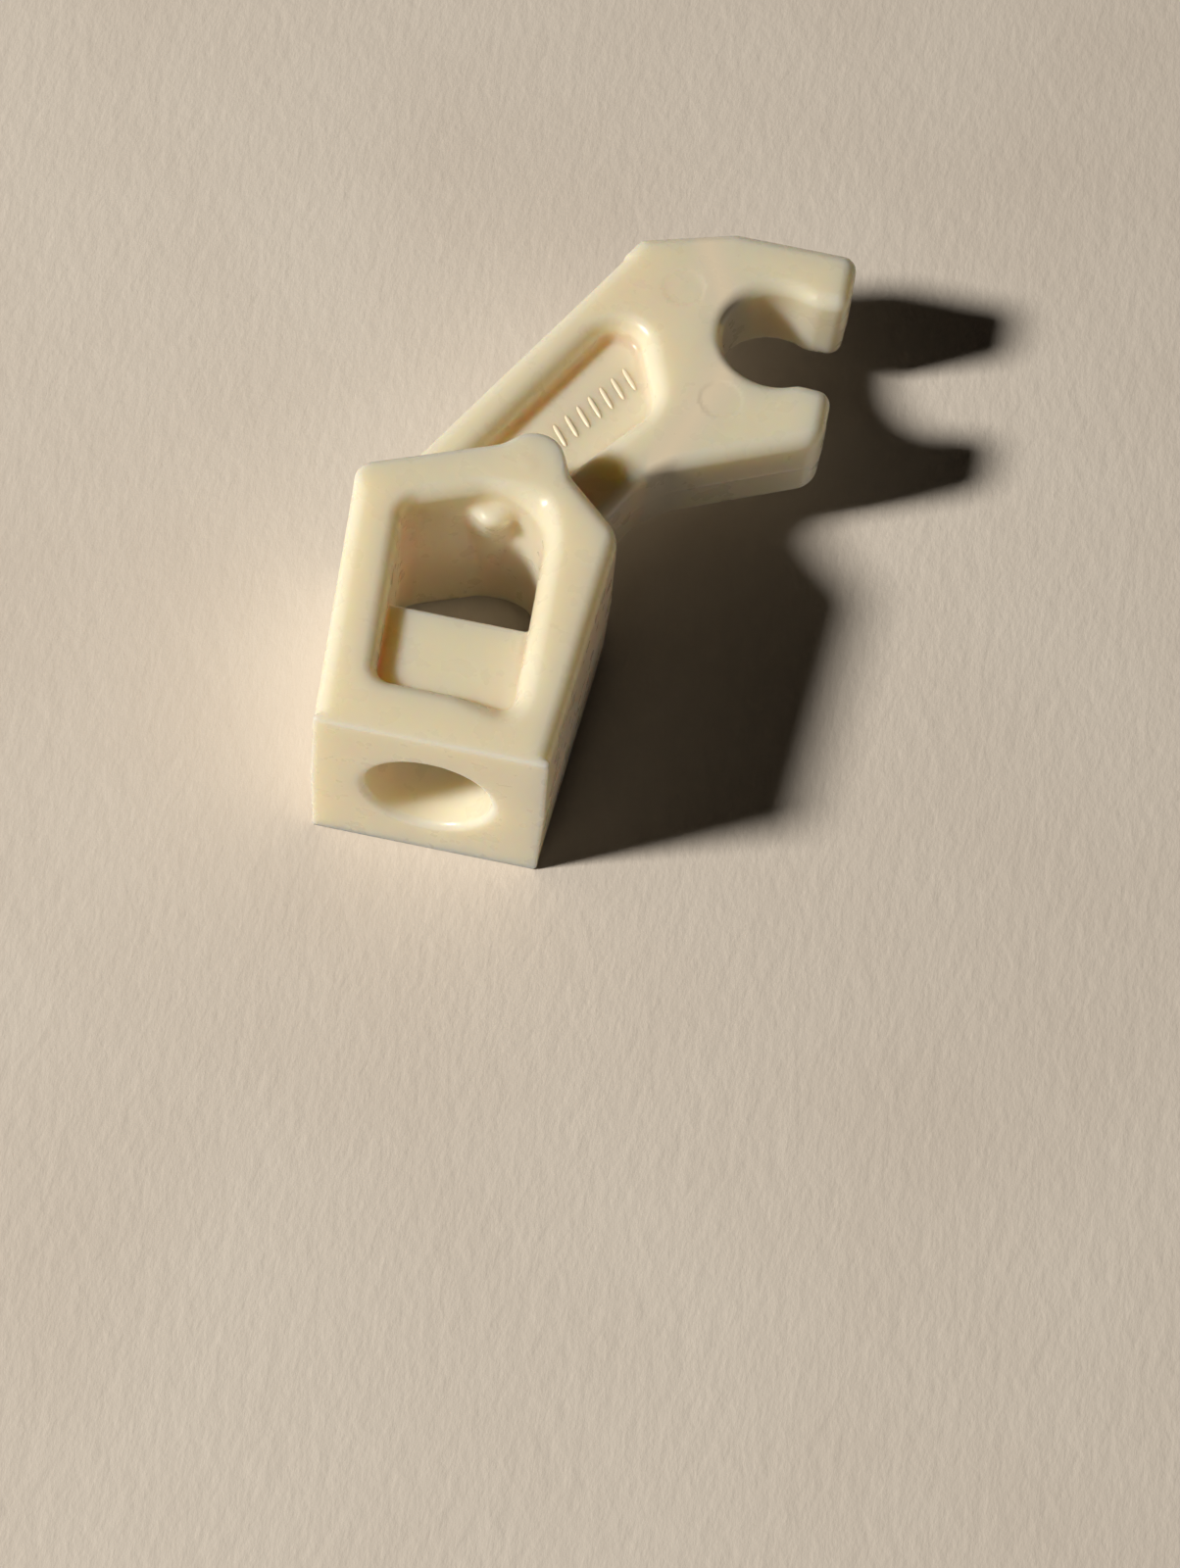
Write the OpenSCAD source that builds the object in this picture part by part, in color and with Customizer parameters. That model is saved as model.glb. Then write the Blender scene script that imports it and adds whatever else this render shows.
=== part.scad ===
// Bent toy robot arm with a rod socket at one end and an open rod clip at the other.
// The arm is a single plastic moulding. It is drawn here as its working regions, each one a
// solid of its own, so that the two spring jaws of the clip can open on hinges.
// Origin: centre of the rod socket's mouth. +Y runs up the upper arm, +X to the clip's open side
// and +Z out of the front face. Both faces are the same, but for the ticks and the rib.

/* [Rod] */
// Radius of the rod that the arm is made to hold
rod_r = 1.6; // [1.5:0.05:1.7]

/* [Upper arm] */
// Thickness of the upper arm
arm_t = 5.8; // [5.2:0.1:6.4]
// Width of the end face around the socket
face_w = 5.9; // [5.6:0.1:6.3]
// Lean of each side, which makes the arm widen towards the elbow
side_lean = 4.1; // [2:0.1:5]
// Sideways place of the elbow's peak
peak_x = 0.95; // [0.6:0.05:1.2]
// Height of the elbow's peak above the socket's mouth
peak_y = 9.15; // [8.8:0.05:9.6]
// Slope of the elbow's long top edge
bridge_slope = 22.2; // [20:0.1:25]
// Slope of the elbow's short right edge
brace_slope = 42.4; // [39:0.1:45]
// Radius of the post along the elbow's peak
post_r = 0.75; // [0.5:0.05:0.75]
// Rounding of the upper arm's outer corners
arm_corner_r = 0.45; // [0.2:0.05:0.6]

/* [Window] */
// Width of the window at the foot of its pockets
window_w = 3.46; // [3.2:0.02:3.6]
// Lean of both of the window's sides, to the left as they go up
window_lean = 4; // [0:0.1:5]
// Height at which the pockets above the socket start
pocket_y = 1.55; // [1.4:0.05:2]
// Height of the top of the socket block, where the window starts
sill_y = 3.9; // [3.4:0.1:4.4]
// Depth of the pocket in each face
pocket_depth = 0.6; // [0.3:0.05:0.8]
// Thickness of the walls over the window
window_wall = 1.3; // [1.2:0.05:1.6]
// Rounding of the window's two side corners
window_corner_r = 0.4; // [0.2:0.05:0.6]
// Rounding of the window's top corner
window_peak_r = 0.8; // [0.4:0.05:0.9]
// Radius of the short round rib inside the window, under the elbow's long top edge
rib_r = 0.5; // [0.4:0.02:0.52]

/* [Forearm] */
// Thickness of the forearm and the clip
fore_t = 2.6; // [2.2:0.1:3.2]
// Direction of the forearm's outer edge, measured from +X
fore_dir = 60.5; // [58:0.5:62]
// Direction of the forearm's inner edge, measured from +X
fore_inner_dir = 62; // [60:0.5:66]
// Width of the rim along the outer edge
rim_w = 1.05; // [0.8:0.05:1.3]
// Depth of the recess in each face of the forearm
recess_depth = 0.7; // [0.3:0.05:0.8]
// Rounding of the forearm's outer corners
fore_corner_r = 0.5; // [0.2:0.05:0.7]

/* [Marks] */
// Number of raised ticks on the recess floor
tick_count = 6; // [0:1:8]
// Distance from one tick to the next
tick_pitch = 0.42; // [0.35:0.01:0.5]
// Height of a tick above the floor
tick_h = 0.08; // [0.04:0.01:0.15]

/* [Clip] */
// Radius of the clip's bore at rest, a little less than the rod so that it grips
clip_r = 1.45; // [1.4:0.05:1.6]
// Gap between the jaws at the clip's mouth
mouth_gap = 2.5; // [2.3:0.05:2.7]
// Rounding of the jaws' tips
tip_r = 0.4; // [0.2:0.05:0.5]

/* [Hidden] */

cream = [0.87, 0.81, 0.67];
pale_cream = [0.93, 0.88, 0.76];
warm_cream = [0.80, 0.72, 0.55];
bore_fn = 64;
arc_steps = 6;
far = 30;              // longer than the whole arm, for lines and cuts that run right through
tick_w = 0.12;
tick_l = 0.75;

// Line geometry: a line is a point and a direction in degrees
function along(dir) = [cos(dir), sin(dir)];
function shifted(point, dir, left) = point + left * along(dir + 90);
function meet(p, p_dir, q, q_dir) =
    let (u = along(p_dir), v = along(q_dir), d = q - p)
    p + u * (d[0] * v[1] - d[1] * v[0]) / (u[0] * v[1] - u[1] * v[0]);

// The corner b between a and c, replaced by an arc of radius r that touches both sides
function corner_arc(a, b, c, r) =
    let (u = (a - b) / norm(a - b), v = (c - b) / norm(c - b), half = acos(u * v) / 2,
        mid = b + r / sin(half) * (u + v) / norm(u + v),
        from = b + u * r / tan(half) - mid, to = b + v * r / tan(half) - mid,
        start = atan2(from[1], from[0]),
        sweep = (atan2(to[1], to[0]) - start + 540) % 360 - 180)
    [for (i = [0:arc_steps]) mid + r * along(start + sweep * i / arc_steps)];

function rounded(points, radii) =
    let (n = len(points))
    [for (i = [0:n - 1]) each radii[i] > 0
        ? corner_arc(points[(i + n - 1) % n], points[i], points[(i + 1) % n], radii[i])
        : [points[i]]];

// Upper arm: outer corners
peak = [peak_x, peak_y];
left_foot = [-face_w / 2, 0];
right_foot = [face_w / 2, 0];
left_side_dir = 90 + side_lean;
right_side_dir = 90 - side_lean;
left_shoulder = meet(left_foot, left_side_dir, peak, bridge_slope);
right_shoulder = meet(right_foot, right_side_dir, peak, -brace_slope);

// Window: inner corners
bridge_inner = shifted(peak, bridge_slope, -window_wall);
brace_inner = shifted(peak, -brace_slope, -window_wall);
window_feet = [[-window_w / 2, pocket_y], [window_w / 2, pocket_y]];
window_dir = 90 + window_lean;
window_left = meet(window_feet[0], window_dir, bridge_inner, bridge_slope);
window_peak = meet(bridge_inner, bridge_slope, brace_inner, -brace_slope);
window_right = meet(window_feet[1], window_dir, brace_inner, -brace_slope);
window_mid = [0, sill_y];
rib_x = 0.2;
rib_drop = 0.22;               // how far the rib's axis stands off the wall
rib_at = meet(bridge_inner, bridge_slope, [rib_x, 0], 90) - [0, rib_drop];
rib_from_face = 0.5;           // depth of the rib's top below the front face
rib_l = 2;

// Forearm: outer corners, from the elbow round the clip and back
outer_edge = [0.1, 12.95];     // a point on the forearm's outer edge
crown_y = 17.45;               // top of the clip head
tip_x = 7.9;                   // furthest reach of the jaws
crown = [4.6, crown_y];
crown_slope = 17.2;
chin_slope = 24.5;
armpit = [3.75, 9.72];         // inner corner between the forearm and the lower jaw
elbow_out = meet(outer_edge, fore_dir, peak, bridge_slope);
elbow_in = meet(armpit, fore_inner_dir, peak, -brace_slope);
head_corner = meet(outer_edge, fore_dir, crown, crown_slope);
chin = meet(armpit, chin_slope, [tip_x, 0], 90);

// Recess in the forearm
recess_edge = shifted(outer_edge, fore_dir, -rim_w);
recess_far = [3.5, 11.7];
recess_far_dir = -69.5;
recess_near_dir = 53;
recess_end_y = 13.65;          // the recess stops here, just short of where its sides would meet
recess_ends = [for (side = [[recess_edge, fore_dir], [recess_far, recess_far_dir]])
    meet(side[0], side[1], [0, recess_end_y], 0)];
recess_end_r = 0.3;
recess_top = (recess_ends[0] + recess_ends[1]) / 2;
recess_out = meet(recess_edge, fore_dir, peak, bridge_slope);
recess_in = meet(recess_far, recess_near_dir, peak, -brace_slope);
recess_mid = (recess_top + recess_far + recess_in + recess_out) / 4;

// Clip: the bore, the mouth and the lines where each jaw starts to bend
clip = [6.2, 14.47];
mouth_out = 0.1;               // how much the mouth widens from its narrowest place to the tips
upper_root = crown;
lower_root = meet(armpit, chin_slope, [4.5, 0], 90);

module arm_outline() {
    polygon(rounded([left_foot, right_foot, right_shoulder, peak, left_shoulder],
        [0, 0, arm_corner_r, 0, arm_corner_r]));
}

function side_at(foot, y) = meet(foot, window_dir, [0, y], 0);

module window_outline() {
    polygon(rounded([for (foot = window_feet) side_at(foot, sill_y), window_right, window_peak,
        window_left], [0, 0, window_corner_r, window_peak_r, window_corner_r]));
}

module post_outline() {
    translate(peak - [0, post_r * 0.9]) circle(r = post_r, $fn = bore_fn);
}

// One wall of the upper arm: the part of the frame that lies in the given sector
module arm_wall(sector) {
    color(cream) translate([0, 0, -arm_t / 2]) linear_extrude(arm_t) difference() {
        intersection() {
            arm_outline();
            polygon(sector);
        }
        window_outline();
        post_outline();
    }
}

module pocket(side) {
    depth = pocket_depth + 1;
    translate([0, 0, side * (arm_t / 2 - pocket_depth + depth / 2) - depth / 2])
        linear_extrude(depth) polygon([window_feet[0], window_feet[1],
            side_at(window_feet[1], sill_y + 1), side_at(window_feet[0], sill_y + 1)]);
}

module socket_block() {
    color(cream) difference() {
        translate([0, 0, -arm_t / 2]) linear_extrude(arm_t) intersection() {
            arm_outline();
            translate([-far / 2, 0]) square([far, sill_y]);
        }
        translate([0, sill_y + 1, 0]) rotate([90, 0, 0])
            cylinder(r = rod_r, h = sill_y + 2, $fn = bore_fn);
        for (side = [-1, 1]) pocket(side);
    }
}

module outer_rail() {
    arm_wall([[-far, sill_y], window_mid, window_left, left_shoulder,
        left_shoulder - [far, 0]]);
}

module inner_rail() {
    arm_wall([[far, sill_y], window_mid, window_right, right_shoulder,
        right_shoulder + [far, 0]]);
}

module elbow_bridge() {
    color(cream) translate([rib_at[0], rib_at[1], arm_t / 2 - rib_from_face - rib_l])
        cylinder(r = rib_r, h = rib_l, $fn = bore_fn);
    arm_wall([window_mid, window_left, left_shoulder, left_shoulder + [-far, far], peak + [0, far], peak,
        window_peak]);
}

module elbow_brace() {
    arm_wall([window_mid, window_right, right_shoulder, right_shoulder + [far, far], peak + [0, far], peak,
        window_peak]);
}

module elbow_post() {
    color(pale_cream) translate([0, 0, -arm_t / 2]) linear_extrude(arm_t) post_outline();
}

module forearm_outline() {
    polygon(rounded([elbow_out, peak, elbow_in, armpit, chin, [tip_x, crown_y], crown,
        head_corner], [0, 0, 0, fore_corner_r, tip_r, tip_r, 0, fore_corner_r]));
}

module recess_outline() {
    polygon(rounded([recess_out, peak, recess_in, recess_far, recess_ends[1], recess_ends[0]],
        [0, 0, 0, fore_corner_r, recess_end_r, recess_end_r]));
}

// The bore and the mouth, which opens towards +X and widens a little to the tips
module clip_cut() {
    throat = clip + [sqrt(clip_r * clip_r - mouth_gap * mouth_gap / 4), 0];
    flare = mouth_gap / 2 + mouth_out + tip_r;
    translate(clip) circle(r = clip_r, $fn = bore_fn);
    polygon([clip + [0, -mouth_gap / 2], clip + [0, mouth_gap / 2], throat + [0, mouth_gap / 2],
        [tip_x - tip_r, clip[1] + mouth_gap / 2 + mouth_out], [tip_x + 0.1, clip[1] + flare],
        [tip_x + 0.1, clip[1] - flare], [tip_x - tip_r, clip[1] - mouth_gap / 2 - mouth_out],
        throat + [0, -mouth_gap / 2]]);
}

module forearm_piece(sector) {
    color(cream) translate([0, 0, -fore_t / 2]) linear_extrude(fore_t) intersection() {
        difference() {
            forearm_outline();
            recess_outline();
            post_outline();
        }
        polygon(sector);
    }
}

module clip_piece(sector, shade) {
    color(shade) translate([0, 0, -fore_t / 2]) linear_extrude(fore_t) intersection() {
        difference() {
            forearm_outline();
            recess_outline();
            clip_cut();
        }
        polygon(sector);
    }
}

module forearm_outer_rim() {
    forearm_piece([recess_out, recess_mid, recess_top, head_corner, head_corner - [far, 0],
        elbow_out - [far, 0], elbow_out]);
}

module forearm_inner_rim() {
    forearm_piece([recess_in, recess_mid, recess_far, armpit, armpit + [1, -1],
        elbow_in + [1, -1], elbow_in]);
}

module forearm_web() {
    web_t = fore_t - 2 * recess_depth;
    color(warm_cream) translate([0, 0, -web_t / 2]) linear_extrude(web_t) difference() {
        recess_outline();
        post_outline();
    }
}

module floor_ticks() {
    row = shifted(outer_edge, fore_dir, -rim_w - 1.05);
    for (i = [0:tick_count - 1])
        color(cream) translate(row + (i - 3.6) * tick_pitch * along(fore_dir - 5))
            rotate(fore_dir + 68)
            translate([-tick_l / 2, -tick_w / 2, fore_t / 2 - recess_depth])
            cube([tick_l, tick_w, tick_h]);
}

module clip_palm() {
    clip_piece([recess_top, recess_mid, recess_far, armpit, armpit + [1, -1],
        lower_root - [0, 1], lower_root, clip, upper_root, upper_root + [0, 1],
        head_corner + [0, 1], head_corner], cream);
}

module upper_jaw() {
    clip_piece([upper_root, clip, clip + [far, 0], [far, far], upper_root + [0, far]],
        pale_cream);
}

module lower_jaw() {
    clip_piece([lower_root, clip, clip + [far, 0], [far, -far], lower_root - [0, far]],
        pale_cream);
}

socket_block();
outer_rail();
inner_rail();
elbow_bridge();
elbow_brace();
elbow_post();
forearm_outer_rim();
forearm_inner_rim();
forearm_web();
floor_ticks();
clip_palm();
upper_jaw();
lower_jaw();
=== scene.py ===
import math
from collections import Counter

import bmesh
import bpy
import numpy as np
from mathutils import Matrix, Vector


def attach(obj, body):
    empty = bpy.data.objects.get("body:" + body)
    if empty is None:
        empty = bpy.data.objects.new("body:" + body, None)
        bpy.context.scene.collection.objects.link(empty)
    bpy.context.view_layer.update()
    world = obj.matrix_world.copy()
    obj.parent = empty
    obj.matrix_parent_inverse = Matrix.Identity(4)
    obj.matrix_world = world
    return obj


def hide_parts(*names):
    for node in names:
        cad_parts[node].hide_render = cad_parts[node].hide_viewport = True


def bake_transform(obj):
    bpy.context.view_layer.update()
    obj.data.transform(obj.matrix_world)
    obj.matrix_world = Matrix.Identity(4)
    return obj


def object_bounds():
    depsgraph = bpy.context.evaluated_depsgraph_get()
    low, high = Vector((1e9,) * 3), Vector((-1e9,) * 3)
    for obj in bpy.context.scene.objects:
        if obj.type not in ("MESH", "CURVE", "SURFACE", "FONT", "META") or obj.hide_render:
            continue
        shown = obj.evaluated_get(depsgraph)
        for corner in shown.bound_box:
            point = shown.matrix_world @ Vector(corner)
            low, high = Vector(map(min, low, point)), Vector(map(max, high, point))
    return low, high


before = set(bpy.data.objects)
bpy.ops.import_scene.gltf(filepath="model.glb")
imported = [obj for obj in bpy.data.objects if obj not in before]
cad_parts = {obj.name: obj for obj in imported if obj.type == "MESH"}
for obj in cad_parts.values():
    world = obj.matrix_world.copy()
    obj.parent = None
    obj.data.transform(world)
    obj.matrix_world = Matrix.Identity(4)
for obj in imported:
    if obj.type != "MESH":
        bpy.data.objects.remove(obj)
cadBox = [list(corner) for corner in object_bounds()]
mm = 0.001

# The arm is one moulding, so its skin is one surface: the places where a signed distance, in mm,
# is zero. The distance is built from lines, circles and slabs, as the CAD nodes are.
# x runs across the arm, y up it from the socket's mouth and z out of the front face.
arm = {
    # the block's outline
    "halfThickness": 2.9, "halfWidth": 2.95, "sideLean": 4.1, "peak": (0.95, 9.15),
    "bridgeSlope": 22.2, "braceSlope": 42.4, "cornerRound": 0.4,
    "bumpAt": (0.9, 8.48), "bumpRadius": 0.79, "bumpBlend": 0.22,
    # the edges of its faces; the lip at the end face and the elbow's top are crisper
    "edgeRound": 0.4, "endEdge": 0.06, "lipHeight": 0.14, "lipFade": 0.12,
    "topRound": 0.16, "topStart": -0.9, "topFade": 0.5, "bumpEdge": 0.3, "bumpFade": 0.4,
    # the window, and its rounder edge on the right
    "windowLeft": -1.7, "windowRight": 1.77, "windowLean": 4.0, "pocketStart": 1.55,
    "windowWall": 1.3, "braceExtra": 0.1, "windowCorner": 0.36, "windowApex": 0.8,
    "windowEdge": 0.4, "windowWideEdge": 0.75, "wideStart": 0.3, "wideFade": 1.1,
    # the socket block at its foot
    "sillTop": 3.9, "sillWall": 0.8, "sillEdge": 0.1, "sillFillet": 0.07, "pocketDepth": 0.62,
    "boreRadius": 1.6, "boreEdge": 0.2, "boreOverrun": 0.3,
    # the rib inside the peak, and the ramp from it to the front face
    "ribAt": (0.06, 7.22), "ribRadius": 0.4, "ribTop": 2.0, "ribTopRound": 0.25,
    "ribFoot": -1.2, "ribTaper": 0.25, "ribBlend": 0.3,
    "rampFoot": (0.2, 7.4, 1.7), "rampHead": (0.75, 8.2, 2.4), "rampRadius": 0.3,
}
fore = {
    # the beam and the clip head's outline
    "halfThickness": 1.3, "outerPoint": (0.1, 12.95), "outerDir": 60.5, "headStep": 0.07,
    "stepAt": 15.95, "stepFade": 0.2, "crown": (4.6, 17.47), "crownSlope": 17.2,
    "crownRound": 0.12, "tipX": 7.9, "chinSlope": 24.5, "armpit": (3.75, 9.72),
    "innerDir": 62.0, "beamEnd": 13.0, "cornerRound": 0.42, "tipRound": 0.36,
    "headRound": 0.12, "armpitFill": 0.45, "edgeRound": 0.38, "elbowBlend": 0.2,
    "intoElbow": 0.3,
    # the recess in each face
    "rimWidth": 1.05, "recessDepth": 0.68, "recessFar": (3.5, 11.7), "recessFarDir": -69.5,
    "recessNearDir": 53.0, "recessEnd": 13.85, "recessCorner": 0.32, "recessEdge": 0.48,
    "recessFloor": 0.2,
    # the ejector pins' marks
    "pins": ((3.55, 15.35), (5.1, 12.2)), "pinRadius": 0.55, "pinDepth": 0.014, "pinFade": 0.1,
    # the clip's bore, and its mouth, whose half width is measured mouthFrom past the bore's axis
    "clipAt": (6.22, 14.47), "clipRadius": 1.43, "mouthHalf": 1.25, "mouthFrom": 1.0,
    "mouthFlare": 3.0, "mouthLip": 0.15,
}
# what the mould leaves: walls that lean away from its parting plane at z = 0, and a fine bead there
mould = {"draft": 1.0, "bead": 0.012, "beadWidth": 0.05}


def roundMax(a, b, r):
    # where both a and b hold; the edge between them is an arc of radius r
    return np.minimum(np.maximum(a, b), -r) + np.hypot(np.maximum(a + r, 0), np.maximum(b + r, 0))


def roundMin(a, b, r):
    # where a or b holds; the corner between them is filled by an arc of radius r
    return -roundMax(-a, -b, r)


def pastLine(x, y, point, degrees):
    # how far (x, y) lies to the right of a line through point in a direction from +x
    s, c = math.sin(math.radians(degrees)), math.cos(math.radians(degrees))
    return (x - point[0]) * s - (y - point[1]) * c


def fold(gaps, r):
    # where every one of the gaps holds, with each edge between them rounded
    whole = gaps[0]
    for gap in gaps[1:]:
        whole = roundMax(whole, gap, r)
    return whole


def moulded(plan, z):
    # an outline's wall: it leans in by the draft angle on each side of z = 0, less the bead there
    lean = abs(z) * math.tan(math.radians(mould["draft"]))
    return plan + lean - mould["bead"] * np.exp(-(z / mould["beadWidth"]) ** 2)


def capsule(at, start, end):
    # how far points are from the straight piece from start to end
    offset, run = [c - s for c, s in zip(at, start)], [e - s for e, s in zip(end, start)]
    along = np.clip(sum(f * r for f, r in zip(offset, run)) / sum(r * r for r in run), 0, 1)
    return np.sqrt(sum((f - along * r) ** 2 for f, r in zip(offset, run)))


def upperArm(x, y, z):
    # a five-sided block with a bump at its peak, less its window, plus the socket block with its
    # pockets and the rib inside the peak, less the bore
    half, thick = arm["halfWidth"], arm["halfThickness"]
    bridge = pastLine(x, y, arm["peak"], 180 + arm["bridgeSlope"])
    brace = pastLine(x, y, arm["peak"], 180 - arm["braceSlope"])
    right = pastLine(x, y, (half, 0), 90 - arm["sideLean"])
    left = pastLine(x, y, (-half, 0), 270 + arm["sideLean"])
    outline = fold([right, brace, bridge, left], arm["cornerRound"])
    bump = np.hypot(x - arm["bumpAt"][0], y - arm["bumpAt"][1]) - arm["bumpRadius"]
    outline = moulded(roundMin(outline, bump, arm["bumpBlend"]), z)
    start, wall = arm["pocketStart"], arm["windowWall"]
    window = fold([roundMax(brace + wall + arm["braceExtra"], bridge + wall, arm["windowApex"]), start - y,
                   x - arm["windowRight"],
                   pastLine(x, y, (arm["windowRight"], arm["sillTop"]), 90 + arm["windowLean"]),
                   pastLine(x, y, (arm["windowLeft"], start), 270 + arm["windowLean"])],
                  arm["windowCorner"])
    # the edges are rounder down the sides than along the elbow's top and round the bump, and
    # the window's right edge is the roundest
    crisp = np.maximum((bridge - arm["topStart"]) / arm["topFade"],
                       (arm["bumpEdge"] - bump) / arm["bumpFade"])
    edgeRound = arm["edgeRound"] + (arm["topRound"] - arm["edgeRound"]) * np.clip(crisp, 0, 1)
    lip = np.clip((y - arm["lipHeight"]) / arm["lipFade"], 0, 1)    # 0 in the end face's square lip
    edgeRound = arm["endEdge"] + (edgeRound - arm["endEdge"]) * lip
    block = roundMax(outline, abs(z) - thick, edgeRound)
    wide = np.clip((x - arm["wideStart"]) / arm["wideFade"], 0, 1)
    edgeRound = arm["windowEdge"] + (arm["windowWideEdge"] - arm["windowEdge"]) * wide
    block = roundMax(block, -window, edgeRound)
    into = arm["ribTaper"] * (arm["ribTop"] - z)    # the rib sinks into the wall with depth
    rib = np.hypot(x - arm["ribAt"][0], y - arm["ribAt"][1] - into) - arm["ribRadius"]
    rib = roundMax(np.maximum(rib, arm["ribFoot"] - z), z - arm["ribTop"], arm["ribTopRound"])
    ramp = capsule((x, y, z), arm["rampFoot"], arm["rampHead"]) - arm["rampRadius"]
    block = roundMin(block, roundMin(rib, ramp, arm["ribBlend"]), arm["ribBlend"])
    sill = roundMax(abs(z) - thick + arm["pocketDepth"], y - arm["sillTop"], arm["sillEdge"])
    sill = np.maximum(sill, abs(x) - half + arm["sillWall"])
    block = roundMin(block, sill, arm["sillFillet"])
    block = roundMax(block, -y, arm["endEdge"])
    bore = np.maximum(np.hypot(x, z) - arm["boreRadius"], y - arm["sillTop"] - arm["boreOverrun"])
    return roundMax(block, -bore, arm["boreEdge"]), np.maximum(bridge, brace)


def foreArm(x, y, z, elbow):
    # beam and clip head in plan, less the clip's bore and mouth, then the recess in each face
    outer = pastLine(x, y, fore["outerPoint"], 180 + fore["outerDir"])
    inner = pastLine(x, y, fore["armpit"], fore["innerDir"])
    tip = fold([y - fore["crown"][1], x - fore["tipX"],
                pastLine(x, y, fore["armpit"], fore["chinSlope"])], fore["cornerRound"])
    head = roundMax(tip, pastLine(x, y, fore["crown"], 180 + fore["crownSlope"]), fore["crownRound"])
    plan = roundMin(head, np.maximum(inner, y - fore["beamEnd"]), fore["armpitFill"])
    edge = outer - fore["headStep"] * np.clip((y - fore["stepAt"]) / fore["stepFade"], 0, 1)
    plan = roundMax(plan, edge, fore["headRound"])
    dx, dy = x - fore["clipAt"][0], y - fore["clipAt"][1]
    flare = math.radians(fore["mouthFlare"])
    opening = (dx - fore["mouthFrom"]) * math.sin(flare)
    throat = (abs(dy) - fore["mouthHalf"]) * math.cos(flare) - opening
    hole = roundMin(np.hypot(dx, dy) - fore["clipRadius"], np.maximum(throat, -dx), fore["mouthLip"])
    plan = roundMax(moulded(plan, z), -hole, fore["tipRound"])
    plan = np.maximum(plan, -elbow - fore["intoElbow"])
    faces = abs(z) - fore["halfThickness"]
    for pin in fore["pins"]:    # the faint round marks the mould's ejector pins leave
        inside = fore["pinRadius"] - np.hypot(x - pin[0], y - pin[1])
        faces = faces + fore["pinDepth"] * np.clip(inside / fore["pinFade"] + 0.5, 0, 1)
    body = roundMax(plan, faces, fore["edgeRound"])
    rim = fold([outer + fore["rimWidth"],
                pastLine(x, y, fore["recessFar"], 180 + fore["recessFarDir"]),
                pastLine(x, y, fore["recessFar"], fore["recessNearDir"]),
                y - fore["recessEnd"]], fore["recessCorner"])
    deep = fore["halfThickness"] - fore["recessDepth"] - abs(z)
    recess = roundMax(rim, deep, fore["recessFloor"])
    return roundMax(body, -recess, fore["recessEdge"])


def moulding(x, y, z):
    # the whole arm: the distance is under 0 inside the plastic
    upper, elbow = upperArm(x, y, z)
    return roundMin(upper, foreArm(x, y, z, elbow), fore["elbowBlend"])


def sample(p, d):
    # the distance at points p moved by d
    return moulding(*(p + d).T)


def slope(p, step=0.004):
    # the distance's gradient at points p, by central differences
    rows = [sample(p, d) - sample(p, -d) for d in step * np.eye(3)]
    return np.stack(rows, 1) / (2 * step)


def bend(p, step=0.13, sharpest=4.0):
    # how sharply the surface turns at points p, from the distance's second differences: over 0 on
    # an outer edge, under 0 in a corner, and 1 from a curvature of sharpest per mm upwards
    ring = sum(sample(p, d) + sample(p, -d) for d in step * np.eye(3))
    return np.clip((ring - 6 * moulding(*p.T)) / (step * step) / sharpest, -1, 1)


# the grid that the skin is read from, with lengths in mm; its rows are closer together near the
# mould's parting plane
net = {"pitch": 0.078, "quickPitch": 0.12, "partingPitch": 0.03, "partingRows": 4, "margin": 0.3,
       "newtonSteps": 6, "longestStep": 0.04, "leastSlope": 0.05, "slack": 0.03}


def surfaceNet(xs, ys, zs):
    # one vertex in each grid cell that the surface crosses, a quad round each edge it crosses
    field = moulding(xs[:, None, None], ys[None, :, None], zs[None, None, :])
    inside = field < 0
    count = sum(inside[i:len(xs) - 1 + i, j:len(ys) - 1 + j, k:len(zs) - 1 + k].astype(np.int8)
                for i in (0, 1) for j in (0, 1) for k in (0, 1))
    crossed = (count > 0) & (count < 8)
    index = np.full(crossed.shape, -1)
    index[crossed] = np.arange(crossed.sum())
    cell = np.argwhere(crossed)
    low = np.stack([g[c] for g, c in zip((xs, ys, zs), cell.T)], 1)
    high = np.stack([g[c + 1] for g, c in zip((xs, ys, zs), cell.T)], 1)
    points = (low + high) / 2
    quads = []
    for axis in range(3):
        u, v = (axis + 1) % 3, (axis + 2) % 3
        a = np.moveaxis(inside, (axis, u, v), (0, 1, 2))
        cells = np.moveaxis(index, (axis, u, v), (0, 1, 2))
        start, end = a[:-1, 1:-1, 1:-1], a[1:, 1:-1, 1:-1]
        ring = np.stack([cells[:, :-1, :-1], cells[:, 1:, :-1], cells[:, 1:, 1:],
                         cells[:, :-1, 1:]], -1)
        quads.append(ring[start & ~end])
        quads.append(ring[end & ~start][:, ::-1])
    longest, slack = net["longestStep"], net["slack"]
    for _ in range(net["newtonSteps"]):    # each moves the points along the slope onto the surface
        g = slope(points)
        away = moulding(*points.T) / np.maximum((g * g).sum(1), net["leastSlope"])
        points = points - np.clip(g * away[:, None], -longest, longest)
    return np.clip(points, low - slack, high + slack), np.concatenate(quads)


# The skin is cut across the root of each jaw, so that each jaw is a piece of its own
jaws = {
    "upper_jaw": {"root": (4.6, 17.45), "towards": (0.891, 0.453), "seam": -0.9, "bentBy": 0.9,
                  "box": ((3.5, 14.5), (9, 18))},
    "lower_jaw": {"root": (4.5, 10.062), "towards": (0.941, -0.339), "seam": -0.5, "bentBy": 0.9,
                  "box": ((3.6, 9.5), (9, 14.5))},
}
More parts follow.
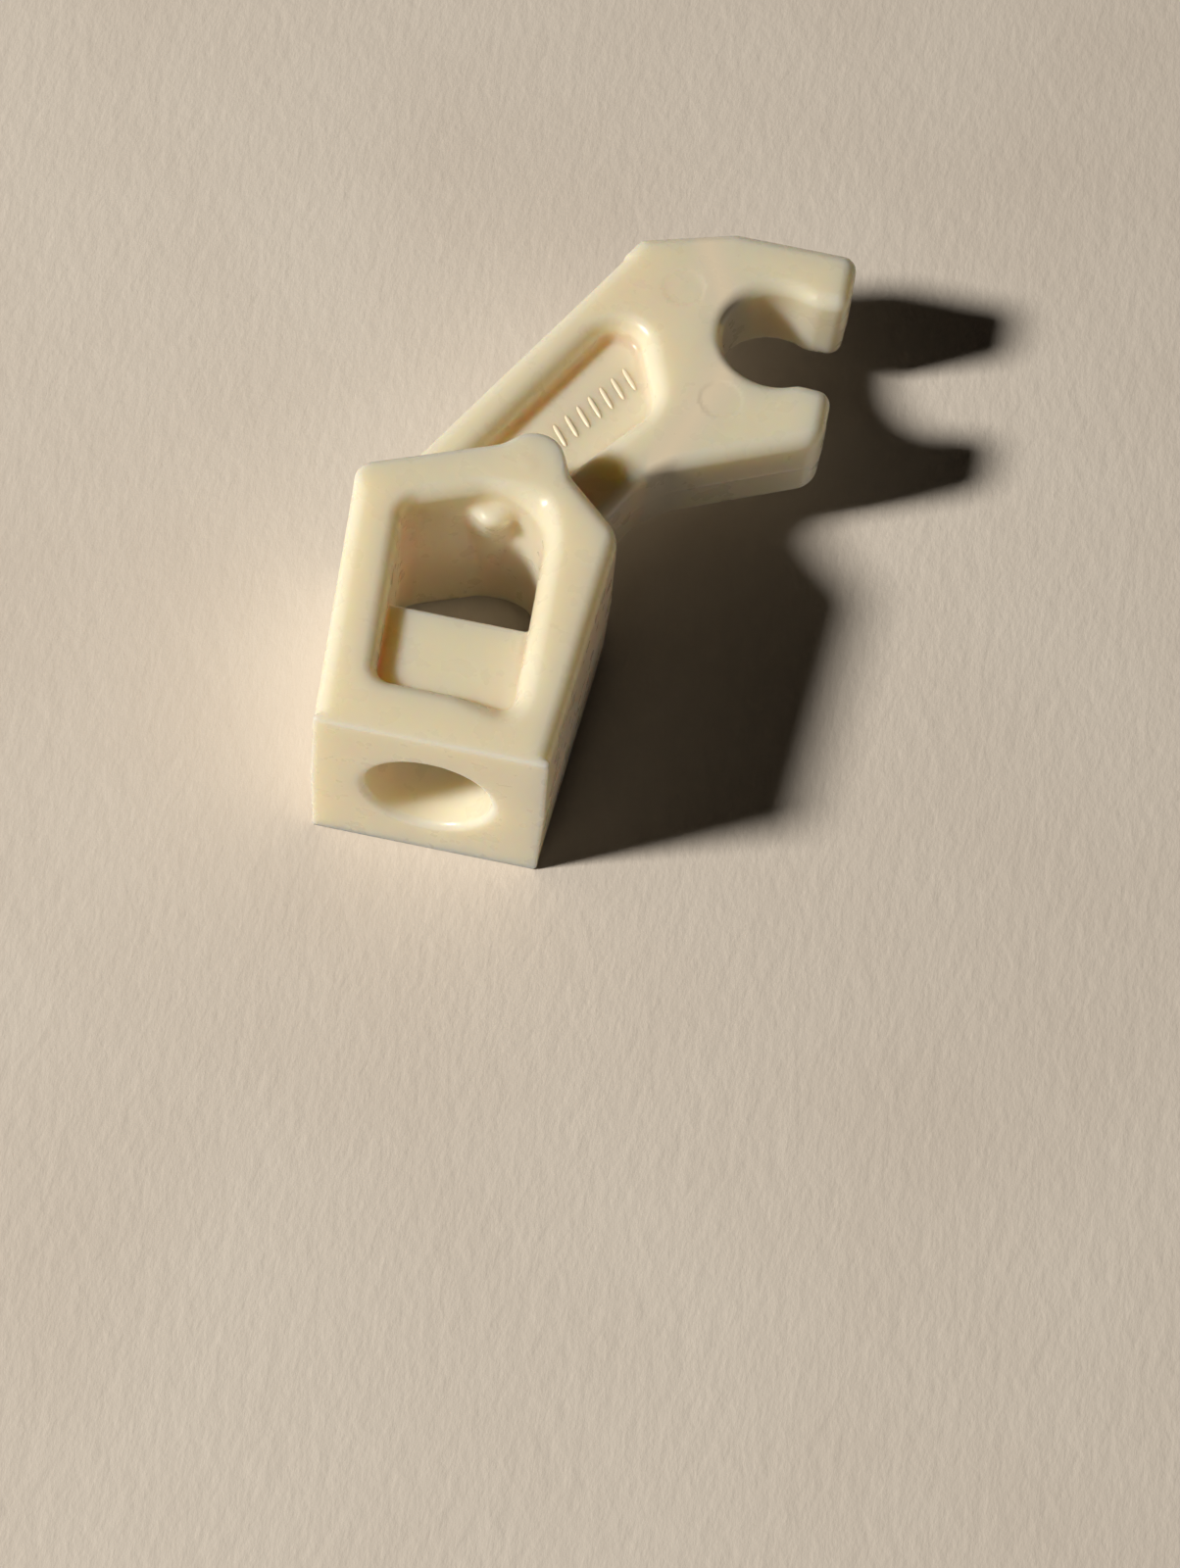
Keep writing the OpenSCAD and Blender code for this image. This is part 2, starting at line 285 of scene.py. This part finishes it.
# how near a seam faces are split, how near it the light inside the plastic fades out, and how
# near its plane a vertex counts as on it
seams = {"band": 0.4, "glowFade": 0.9, "snap": 1e-5}
pitch = net["pitch"]
span = [np.arange(a / mm - net["margin"], b / mm + net["margin"] + pitch, pitch)
        for a, b in zip(*cadBox)]
nearParting = np.arange(-net["partingRows"], net["partingRows"] + 1) * net["partingPitch"]
outward = np.arange(nearParting[-1] + pitch, span[2][-1] + pitch, pitch)
points, quads = surfaceNet(span[0], span[1], np.concatenate([-outward[::-1], nearParting, outward]))
print("skin:", len(points), "points", len(quads), "quads")


def pastSeam(at, jaw):
    # how far points lie past a jaw's seam, and whether they are in the jaw's box at all
    away = (at[:, :2] - np.array(jaw["root"])) @ np.array(jaw["towards"]) - jaw["seam"]
    inBox = ((at[:, :2] > jaw["box"][0]) & (at[:, :2] < jaw["box"][1])).all(1)
    return away, inBox


def cutAlong(bm, jaw):
    # splits the faces near a jaw's seam along the seam's plane
    centres = np.array([f.calc_center_median() for f in bm.faces])
    away, inBox = pastSeam(centres, jaw)
    bm.faces.ensure_lookup_table()
    band = [bm.faces[i] for i in np.flatnonzero(inBox & (abs(away) < seams["band"]))]
    parts = set(band) | {e for f in band for e in f.edges} | {v for f in band for v in f.verts}
    n = Vector((*jaw["towards"], 0)).normalized()
    root = Vector((*jaw["root"], 0)) + n * jaw["seam"]
    bmesh.ops.bisect_plane(bm, geom=list(parts), dist=seams["snap"], plane_co=root, plane_no=n)


def closedPiece(faces):
    # the faces and one flat cap on each open loop of edges; returns polygons and where caps start
    links = Counter(edge for f in faces for edge in zip(f, f[1:] + f[:1]))
    after = {b: a for (a, b), times in links.items() if times > links.get((b, a), 0)}
    caps = []
    while after:
        start, at = after.popitem()
        loop = [start]
        while at != start:
            loop.append(at)
            at = after.pop(at)
        caps.append(loop)
    return faces + caps, len(faces)


def skinPiece(name, verts, faces, normals, marks):
    # an object of the given faces and their caps; only the caps are shaded flat
    polys, capStart = closedPiece(faces)
    used = np.unique(np.concatenate(polys))
    renumbered = np.zeros(len(verts), int)
    renumbered[used] = np.arange(len(used))
    mesh = bpy.data.meshes.new(name)
    mesh.from_pydata((verts[used] * mm).tolist(), [], [renumbered[p].tolist() for p in polys])
    mesh.update()
    loops = np.concatenate(polys)
    loopNormals = normals[loops]
    first = sum(len(p) for p in polys[:capStart])
    for poly in mesh.polygons[capStart:]:
        loopNormals[first:first + poly.loop_total] = poly.normal
        first += poly.loop_total
    mesh.polygons.foreach_set("use_smooth", np.ones(len(polys), bool))
    mesh.normals_split_custom_set(loopNormals.tolist())
    for label, values in marks.items():
        mesh.attributes.new(label, "FLOAT", "POINT").data.foreach_set("value", values[used])
    obj = bpy.data.objects.new(name, mesh)
    bpy.context.collection.objects.link(obj)
    print(name, sum(len(p) - 2 for p in polys), "triangles", len(polys) - capStart, "caps")
    return obj


bm = bmesh.new()
whole = bpy.data.meshes.new("whole")
whole.from_pydata(points.tolist(), [], quads.tolist())
bm.from_mesh(whole)
for jaw in jaws.values():
    cutAlong(bm, jaw)
bm.verts.index_update()
verts = np.array([v.co for v in bm.verts])
faces = [[v.index for v in f.verts] for f in bm.faces]
centres = np.array([f.calc_center_median() for f in bm.faces])
bm.free()
bpy.data.meshes.remove(whole)
normals = slope(verts)
normals /= np.linalg.norm(normals, axis=1, keepdims=True)
# how sharply the skin turns, and how much light it carries inside, which fades out at a seam
marks = {"turn": bend(verts), "glow": np.ones(len(verts))}
owner = np.full(len(faces), "arm", dtype="<U9")
for name, jaw in jaws.items():
    away, inBox = pastSeam(centres, jaw)
    owner[inBox & (away > 0)] = name
    away, inBox = pastSeam(verts, jaw)
    near = np.clip(abs(away) / seams["glowFade"], 0, 1)
    marks["glow"] *= np.where(inBox, near * near * (3 - 2 * near), 1)

skins = {}
for name, label in (("arm", "armSkin"), ("upper_jaw", "upperJawSkin"), ("lower_jaw", "lowerJawSkin")):
    owned = [f for f, o in zip(faces, owner) if o == name]
    skins[name] = skinPiece(label, verts, owned, normals, marks)
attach(skins["arm"], "arm")
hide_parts(*[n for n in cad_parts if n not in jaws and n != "floor_ticks"])
for name, jaw in jaws.items():
    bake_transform(skins[name])
    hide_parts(name)

# a plain row of ticks on the recess's floor
ticks = {"count": 7, "pitch": 0.42, "length": 0.72, "width": 0.13, "height": 0.055, "sink": 0.05,
         "fromRim": 1.22, "first": -3.55, "lean": 68, "rowLean": -5, "around": 24, "rings": 5,
         "squareness": 0.5, "shoulder": 0.6}


def oneTick():
    # half an ellipsoid stretched along its length, as a grid of two angles: u goes round it and v
    # up to its top; a skirt below it sinks into the floor
    u, v = np.meshgrid(np.linspace(0, 2 * math.pi, ticks["around"] + 1)[:-1],
                       np.linspace(0, math.pi / 2, ticks["rings"] + 1))
    long, wide, tall = ticks["length"] / 2, ticks["width"] / 2, ticks["height"]
    squared = np.sign(np.cos(u)) * abs(np.cos(u)) ** ticks["squareness"]
    x, y, z = long * squared * np.cos(v) ** ticks["shoulder"], wide * np.sin(u) * np.cos(v), tall * np.sin(v)
    base = np.stack([x, y, z], -1)
    rows = np.concatenate([base[:1] - [0, 0, ticks["sink"]], base[:-1]])
    count, around = rows.shape[:2]
    grid = rows.reshape(-1, 3)
    shape = np.concatenate([grid, [[0, 0, -ticks["sink"]], [0, 0, tall]]])
    i = np.arange(around)
    j = (i + 1) % around
    sides = [np.stack([k * around + i, k * around + j, (k + 1) * around + j, (k + 1) * around + i], 1)
             for k in range(count - 1)]
    last = (count - 1) * around
    caps = [[len(grid), b, a] for a, b in zip(i, j)]
    caps += [[last + a, last + b, len(grid) + 1] for a, b in zip(i, j)]
    return shape, np.concatenate(sides).tolist() + caps


def tickRow():
    # one tick turned to its lean, then repeated at an even pitch along the beam
    shape, faces = oneTick()
    heading = math.radians(fore["outerDir"] + ticks["rowLean"])
    turned = math.radians(fore["outerDir"] + ticks["lean"])
    c, s = math.cos(turned), math.sin(turned)
    spin = np.array([[c, s, 0], [-s, c, 0], [0, 0, 1]])
    inward = math.radians(fore["outerDir"] - 90)
    off = fore["rimWidth"] + ticks["fromRim"]
    start = np.array(fore["outerPoint"]) + off * np.array([math.cos(inward), math.sin(inward)])
    floor = fore["halfThickness"] - fore["recessDepth"]
    allVerts, allFaces = [], []
    for n in range(ticks["count"]):
        along = (n + ticks["first"]) * ticks["pitch"] * np.array([math.cos(heading), math.sin(heading)])
        allFaces += [[k + len(shape) * n for k in f] for f in faces]
        allVerts.append(shape @ spin + np.array([*(start + along), floor]))
    return np.concatenate(allVerts), allFaces


tickVerts, tickFaces = tickRow()
tickMesh = bpy.data.meshes.new("ticks")
tickMesh.from_pydata((tickVerts * mm).tolist(), [], tickFaces)
tickMesh.polygons.foreach_set("use_smooth", np.ones(len(tickFaces), bool))
tickMesh.update()
tickPiece = bpy.data.objects.new("floorTicks", tickMesh)
bpy.context.collection.objects.link(tickPiece)
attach(tickPiece, "arm")
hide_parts("floor_ticks")
print("ticks:", ticks["count"])


def setInputs(tree, node, inputs):
    # each input is a value, or another node's output to link
    for key, value in inputs.items():
        if isinstance(value, bpy.types.NodeSocket):
            tree.links.new(value, node.inputs[key])
        else:
            node.inputs[key].default_value = value


def addNode(tree, kind, inputs=None, **settings):
    # a node with its inputs and the settings that aren't sockets
    node = tree.nodes.new(kind)
    for key, value in settings.items():
        setattr(node, key, value)
    setInputs(tree, node, inputs or {})
    return node


def newGroup(name, inputs, outputs):
    # an empty shader group with its sockets, each given as (name, kind)
    tree = bpy.data.node_groups.new(name, "ShaderNodeTree")
    for way, sockets in (("INPUT", inputs), ("OUTPUT", outputs)):
        for label, kind in sockets:
            tree.interface.new_socket(name=label, in_out=way, socket_type="NodeSocket" + kind)
    return tree, tree.nodes.new("NodeGroupInput").outputs, tree.nodes.new("NodeGroupOutput").inputs


def useGroup(tree, group, inputs):
    return addNode(tree, "ShaderNodeGroup", node_tree=group, inputs=inputs).outputs


def noise(tree, vector, scale, detail=2.0, roughness=0.5):
    return addNode(tree, "ShaderNodeTexNoise", {"Vector": vector, "Scale": scale, "Detail": detail,
                                                "Roughness": roughness}).outputs["Fac"]


def remap(tree, value, low, high, start=0.0, end=1.0):
    # value's stretch from low to high becomes start to end, clamped
    return addNode(tree, "ShaderNodeMapRange", {"Value": value, 1: low, 2: high, 3: start,
                                                4: end}).outputs["Result"]


def combine(tree, kind, a, b):
    return addNode(tree, "ShaderNodeMath", {0: a, 1: b}, operation=kind).outputs[0]


def blendColour(tree, factor, a, b):
    return addNode(tree, "ShaderNodeMix", {0: factor, 6: a, 7: b}, data_type="RGBA").outputs[2]


# broad, soft patches of colour, as in unevenly aged plastic or in pressed paper
patch = {"detail": 3.0, "from": 0.35, "to": 0.65}
mottle, given, made = newGroup("softMottle", [("Vector", "Vector"), ("Scale", "Float"),
                               ("Pale", "Color"), ("Warm", "Color")], [("Color", "Color")])
clouds = noise(mottle, given["Vector"], given["Scale"], patch["detail"])
patches = remap(mottle, clouds, patch["from"], patch["to"])
mottle.links.new(blendColour(mottle, patches, given["Pale"], given["Warm"]), made["Color"])

# the mould's fine grain, and a few hairline scuffs along one direction
fine = {"detail": 3.0, "roughness": 0.6}
scuff = {"turn": (0.3, 0.2, 0.9), "stretch": (0.06, 1.0, 0.5), "scale": 0.4, "detail": 1.0,
         "from": 0.76, "to": 0.82}
grain, given, made = newGroup("mouldGrain", [("Vector", "Vector"), ("Scale", "Float")],
                              [("Height", "Float"), ("Scratches", "Float")])
along = addNode(grain, "ShaderNodeMapping", {"Vector": given["Vector"], "Rotation": scuff["turn"],
                                             "Scale": scuff["stretch"]}).outputs[0]
scuffScale = combine(grain, "MULTIPLY", given["Scale"], scuff["scale"])
streaks = noise(grain, along, scuffScale, scuff["detail"])
height = noise(grain, given["Vector"], given["Scale"], fine["detail"], fine["roughness"])
grain.links.new(height, made["Height"])
grain.links.new(remap(grain, streaks, scuff["from"], scuff["to"]), made["Scratches"])

# painted shade darkens the concave corners and a painted highlight lightens the outer edges, which are also
# made glossier; Turn is the mesh's own measure of both
shadeAndSheen = {"cloudScale": 900.0, "cloudDetail": 4.0,
            "shadeTurn": (-0.1, -0.9), "shadeCloud": (0.3, 0.7), "shadeMost": 0.15,
            "sheenPolishTurn": (0.25, 0.9), "sheenPolishCloud": (0.35, 0.6), "sheenMost": 0.5}
shadeSheenGroup, given, made = newGroup("cornerShadeEdgeSheen", [("Vector", "Vector"), ("Color", "Color"),
                             ("Turn", "Float"), ("CornerShade", "Color"), ("SheenColor", "Color")],
                             [("Color", "Color"), ("Rubbing", "Float")])
cloudy = noise(shadeSheenGroup, given["Vector"], shadeAndSheen["cloudScale"], shadeAndSheen["cloudDetail"])
# painted shade: concave corners are blended, in patches, towards a dark warm brown
corner = combine(shadeSheenGroup, "MULTIPLY", remap(shadeSheenGroup, given["Turn"], *shadeAndSheen["shadeTurn"]),
                 remap(shadeSheenGroup, cloudy, *shadeAndSheen["shadeCloud"]))
# painted highlight: outer edges are blended, in patches, towards a paler cream; the same mask makes them
# glossier
edge = combine(shadeSheenGroup, "MULTIPLY", remap(shadeSheenGroup, given["Turn"], *shadeAndSheen["sheenPolishTurn"]),
               remap(shadeSheenGroup, cloudy, *shadeAndSheen["sheenPolishCloud"]))
corner = combine(shadeSheenGroup, "MULTIPLY", corner, shadeAndSheen["shadeMost"])
colour = blendColour(shadeSheenGroup, corner, given["Color"], given["CornerShade"])
edgeSheen = combine(shadeSheenGroup, "MULTIPLY", edge, shadeAndSheen["sheenMost"])
shadeSheenGroup.links.new(blendColour(shadeSheenGroup, edgeSheen, colour, given["SheenColor"]), made["Color"])
shadeSheenGroup.links.new(edge, made["Rubbing"])

# the corner shade colour is painted shade for the corners, and the edge sheen colour is a painted highlight
# for the outer edges
plastic = {
    "pale": (0.95, 0.87, 0.71, 1), "warm": (0.935, 0.85, 0.68, 1), "mottleScale": 320.0,
    "shadeColour": (0.42, 0.30, 0.17, 1), "edgeSheen": (0.95, 0.91, 0.80, 1), "grainScale": 5000.0,
    "gloss": (0.24, 0.36), "glossScale": 1500.0, "glossDetail": 3.0, "glossNoise": (0.3, 0.7),
    "scuffDull": 0.08, "rubShine": 0.06, "bump": 0.1, "bumpDepth": 0.000006, "ior": 1.53,
    "glowDepth": 0.0012, "glowColour": (1.0, 0.76, 0.48),
}


def creamPlastic(name, glowing):
    # the same plastic for every piece; a glowing one carries light inside, by its glow attribute
    mat = bpy.data.materials.new(name)
    mat.use_nodes = True
    tree = mat.node_tree
    shader = tree.nodes["Principled BSDF"]
    place = addNode(tree, "ShaderNodeTexCoord").outputs["Object"]
    turned = addNode(tree, "ShaderNodeAttribute", attribute_name="turn").outputs["Fac"]
    base = useGroup(tree, mottle, {"Vector": place, "Scale": plastic["mottleScale"],
                                   "Pale": plastic["pale"], "Warm": plastic["warm"]})
    # painted shade in the corners and a painted highlight on the outer edges
    shadeSheenPolish = useGroup(tree, shadeSheenGroup, {"Vector": place, "Color": base["Color"], "Turn": turned,
                                 "CornerShade": plastic["shadeColour"], "SheenColor": plastic["edgeSheen"]})
    pores = useGroup(tree, grain, {"Vector": place, "Scale": plastic["grainScale"]})
    rough = noise(tree, place, plastic["glossScale"], plastic["glossDetail"])
    rough = remap(tree, rough, *plastic["glossNoise"], *plastic["gloss"])
    dulled = combine(tree, "MULTIPLY", pores["Scratches"], plastic["scuffDull"])
    shined = combine(tree, "MULTIPLY", shadeSheenPolish["Rubbing"], plastic["rubShine"])
    rough = combine(tree, "SUBTRACT", combine(tree, "ADD", rough, dulled), shined)
    bump = addNode(tree, "ShaderNodeBump", {"Strength": plastic["bump"], "Height": pores["Height"],
                                            "Distance": plastic["bumpDepth"]})
    setInputs(tree, shader, {"Base Color": shadeSheenPolish["Color"], "Roughness": rough,
                             "Normal": bump.outputs[0], "IOR": plastic["ior"]})
    if glowing:
        glow = addNode(tree, "ShaderNodeAttribute", attribute_name="glow").outputs["Fac"]
        setInputs(tree, shader, {"Subsurface Weight": glow, "Subsurface Radius": plastic["glowColour"],
                                 "Subsurface Scale": plastic["glowDepth"]})
    return mat


creamAbs = creamPlastic("creamAbs", True)
for skin in skins.values():
    skin.data.materials.append(creamAbs)
tickPiece.data.materials.append(creamPlastic("tickAbs", False))
print("materials:", len(bpy.data.materials))

# a sheet of pressed paper for the arm to lie on
paper = {"size": 0.3, "pale": (0.79, 0.76, 0.73, 1), "warm": (0.74, 0.70, 0.665, 1),
         "mottleScale": 90.0, "fibreScale": 1700.0, "fibreDetail": 5.0, "fibreRoughness": 0.62,
         "fibreTurn": -0.14, "fibreStretch": (1.5, 0.7, 1),
         "bump": 0.5, "bumpDepth": 0.00007, "roughness": 0.95}
floorMesh = bpy.data.meshes.new("floor")
corners = np.array([(-1, -1), (1, -1), (1, 1), (-1, 1)]) * paper["size"]
floorMesh.from_pydata([(x, y, cadBox[0][2]) for x, y in corners], [], [(0, 1, 2, 3)])
floor = bpy.data.objects.new("floor", floorMesh)
bpy.context.collection.objects.link(floor)
sheet = bpy.data.materials.new("paper")
sheet.use_nodes = True
tree = sheet.node_tree
place = addNode(tree, "ShaderNodeTexCoord").outputs["Object"]
fibres = addNode(tree, "ShaderNodeMapping", {"Vector": place, "Rotation": (0, 0, paper["fibreTurn"]),
                                             "Scale": paper["fibreStretch"]}).outputs[0]
felt = noise(tree, fibres, paper["fibreScale"], paper["fibreDetail"], paper["fibreRoughness"])
base = useGroup(tree, mottle, {"Vector": place, "Scale": paper["mottleScale"],
                               "Pale": paper["pale"], "Warm": paper["warm"]})
bump = addNode(tree, "ShaderNodeBump", {"Strength": paper["bump"], "Height": felt,
                                        "Distance": paper["bumpDepth"]})
setInputs(tree, tree.nodes["Principled BSDF"], {"Base Color": base["Color"], "Normal": bump.outputs[0],
                                                "Roughness": paper["roughness"]})
floorMesh.materials.append(sheet)

# the camera, aimed from elevation and azimuth in degrees; distances are in mm
view = {"lens": 96.387, "elevation": 63.13, "azimuth": 3.88, "roll": 7.97, "distance": 106.32,
        "slide": (-4.21, -1.57), "baseZ": -2.8, "clipStart": 10}
tilt, swing, roll = (math.radians(view[k]) for k in ("elevation", "azimuth", "roll"))
back = np.array([math.sin(swing) * math.cos(tilt), -math.cos(swing) * math.cos(tilt), math.sin(tilt)])
right = np.cross([0, 0, 1], back)
right /= np.linalg.norm(right)
up = np.cross(back, right)
right, up = (math.cos(roll) * right + math.sin(roll) * up, math.cos(roll) * up - math.sin(roll) * right)
place = back * view["distance"] - right * view["slide"][0] - up * view["slide"][1]
place[2] += view["baseZ"]
cameraData = bpy.data.cameras.new("camera")
cameraData.lens = view["lens"]
cameraData.clip_start = view["clipStart"] * mm
camera = bpy.data.objects.new("camera", cameraData)
bpy.context.collection.objects.link(camera)
turnView = Matrix(np.column_stack([right, up, back]).tolist()).to_4x4()
camera.matrix_world = Matrix.Translation((place * mm).tolist()) @ turnView
bpy.context.scene.camera = camera

bpy.context.scene.view_settings.view_transform = "Standard"    # keeps the pale tones' contrast

# one warm lamp from the upper left, in metres but for aimAt, and a very dim warm room
light = {"towards": (-1.15, -0.51, 1.0), "distance": 0.5, "size": 0.08, "watts": 2.8, "aimAt": (3, 8, 0),
         "tint": (1.0, 0.9, 0.76), "fill": (1.0, 0.76, 0.56, 1), "fillStrength": 0.008}
world = bpy.data.worlds.new("studio")
bpy.context.scene.world = world
world.use_nodes = True
setInputs(world.node_tree, world.node_tree.nodes["Background"],
          {"Color": light["fill"], "Strength": light["fillStrength"]})
lightData = bpy.data.lights.new("key", "AREA")
lightData.shape = "DISK"
lightData.size = light["size"]
lightData.energy = light["watts"]
lightData.color = light["tint"]
key = bpy.data.objects.new("key", lightData)
bpy.context.collection.objects.link(key)
toLight = Vector(light["towards"]).normalized()
aim = Matrix.Translation(toLight * light["distance"] + Vector(light["aimAt"]) * mm)
key.matrix_world = aim @ toLight.to_track_quat("Z", "Y").to_matrix().to_4x4()
print("camera and light placed")
